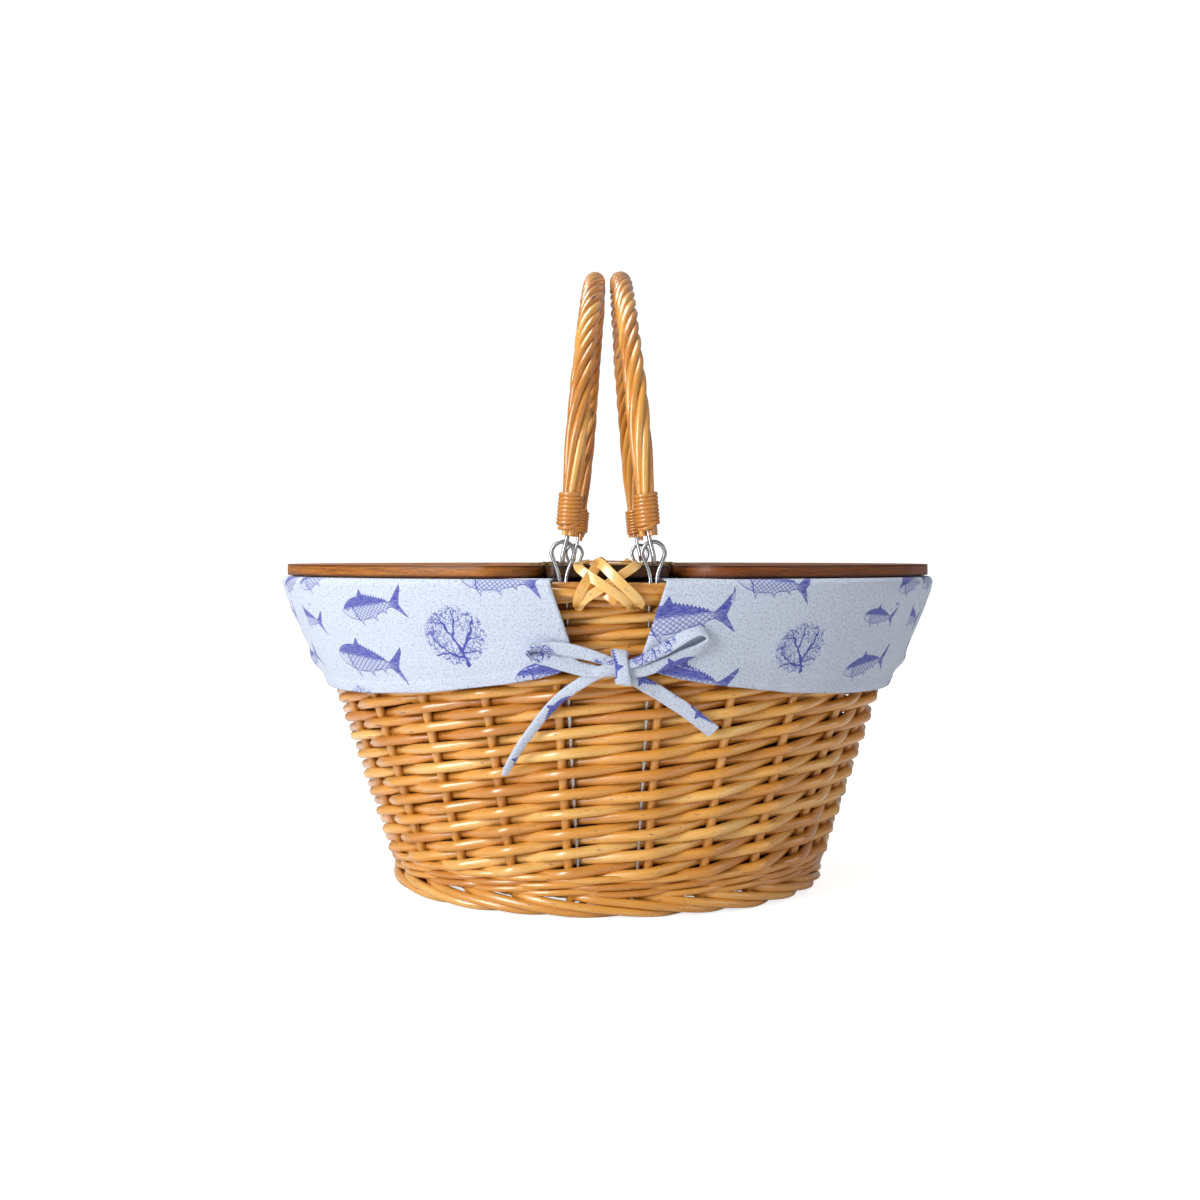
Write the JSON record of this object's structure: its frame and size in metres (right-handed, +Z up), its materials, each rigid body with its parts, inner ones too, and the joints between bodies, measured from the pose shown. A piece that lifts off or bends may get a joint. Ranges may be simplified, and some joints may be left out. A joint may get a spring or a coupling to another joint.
{
  "type": "picnic basket",
  "caption": "Oval woven willow picnic basket with hinged wooden lids on a centre bar, folding twisted handles on wire eyes, and a cloth liner with a tied skirt.",
  "frame": {"origin": "middle of the footprint, on the surface that the basket stands on", "axes": "+X to the right along the basket's length, -Y towards the front with the visible bow, +Z up"},
  "size_m": [0.396, 0.3174, 0.372],
  "materials": {
    "willow": "varnished woven willow, honey brown",
    "handle_willow": "varnished twisted willow, lighter honey",
    "cane": "glossy split cane",
    "lid_wood": "stained and varnished plywood",
    "bar_wood": "dark stained plywood",
    "steel": "bright galvanised wire",
    "brass": "brass plate",
    "cloth": "matt printed linen weave"
  },
  "bodies": {
    "basket": {"floor_weave": "willow", "foot_border": "willow", "base_wale": "willow", "side_weave": "willow", "rim_border": "willow", "stake_right_01": "willow", "stake_right_02": "willow", "stake_right_03": "willow", "stake_right_04": "willow", "stake_right_05": "willow", "stake_right_06": "willow", "stake_right_07": "willow", "stake_right_08": "willow", "stake_right_09": "willow", "stake_right_10": "willow", "stake_right_11": "willow", "stake_left_01": "willow", "stake_left_02": "willow", "stake_left_03": "willow", "stake_left_04": "willow", "stake_left_05": "willow", "stake_left_06": "willow", "stake_left_07": "willow", "stake_left_08": "willow", "stake_left_09": "willow", "stake_left_10": "willow", "stake_left_11": "willow", "rim_eye_front_left": "steel", "rim_eye_front_right": "steel", "rim_eye_back_left": "steel", "rim_eye_back_right": "steel", "centre_bar": "bar_wood", "hinge_left_front_bar_leaf": "brass", "hinge_left_back_bar_leaf": "brass", "hinge_right_front_bar_leaf": "brass", "hinge_right_back_bar_leaf": "brass", "lashing_front": "cane", "lashing_back": "cane", "liner_bag": "cloth", "liner_skirt_left": "cloth", "liner_skirt_right": "cloth", "bow_front": "cloth", "bow_back": "cloth"},
    "left_lid": {"lid_left": "lid_wood", "hinge_left_front_lid_leaf": "brass", "hinge_left_back_lid_leaf": "brass"},
    "right_lid": {"lid_right": "lid_wood", "hinge_right_front_lid_leaf": "brass", "hinge_right_back_lid_leaf": "brass"},
    "left_handle": {"handle_left": "handle_willow", "handle_left_wrap_front": "cane", "handle_left_wrap_back": "cane", "handle_left_eye_front": "steel", "handle_left_eye_back": "steel"},
    "right_handle": {"handle_right": "handle_willow", "handle_right_wrap_front": "cane", "handle_right_wrap_back": "cane", "handle_right_eye_front": "steel", "handle_right_eye_back": "steel"}
  },
  "joints": [
    {"name": "left_lid_hinge", "type": "hinge", "parent": "basket", "child": "left_lid", "pos_m": [-0.034, 0, 0.1937], "axis": [0, 1, 0], "range_deg": [0, 96]},
    {"name": "right_lid_hinge", "type": "hinge", "parent": "basket", "child": "right_lid", "pos_m": [0.034, 0, 0.1937], "axis": [0, -1, 0], "range_deg": [0, 96]},
    {"name": "left_handle_fold", "type": "hinge", "parent": "basket", "child": "left_handle", "pos_m": [-0.0236, 0, 0.1975], "axis": [0, 1, 0], "range_deg": [-90, 0]},
    {"name": "right_handle_fold", "type": "hinge", "parent": "basket", "child": "right_handle", "pos_m": [0.0236, 0, 0.1975], "axis": [0, -1, 0], "range_deg": [-90, 0]}
  ]
}
